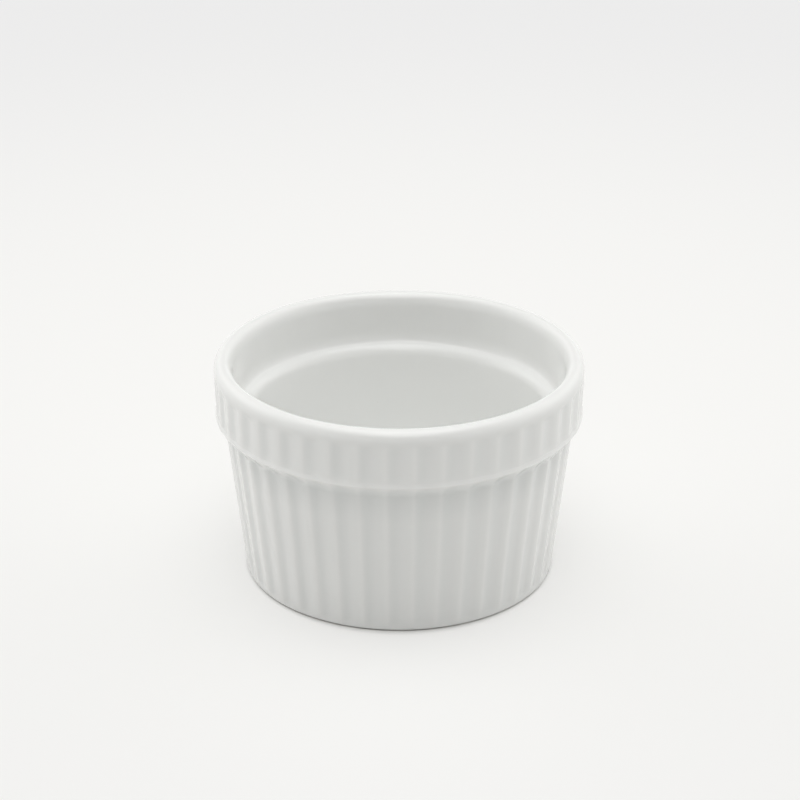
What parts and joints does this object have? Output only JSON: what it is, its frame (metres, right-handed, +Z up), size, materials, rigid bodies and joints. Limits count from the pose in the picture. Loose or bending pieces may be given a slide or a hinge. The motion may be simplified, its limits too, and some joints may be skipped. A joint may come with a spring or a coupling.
{
  "type": "ramekin",
  "caption": "Round porcelain ramekin with fine vertical pleats, a wider collar under a smooth rounded rim, a stacking ledge inside and a bare foot ring.",
  "frame": {"origin": "on the table, under the middle of the foot ring", "axes": "+Z up along the dish's axis, towards the open rim; -Y faces the front of the dish"},
  "size_m": [0.09, 0.09, 0.0551],
  "materials": {
    "fired_clay": "bare fired porcelain, matt",
    "white_glaze": "clear gloss glaze on white porcelain"
  },
  "bodies": {
    "root": {"porcelain_body": "fired_clay", "glaze_coat": "white_glaze", "underside_glaze": "white_glaze"}
  },
  "joints": []
}
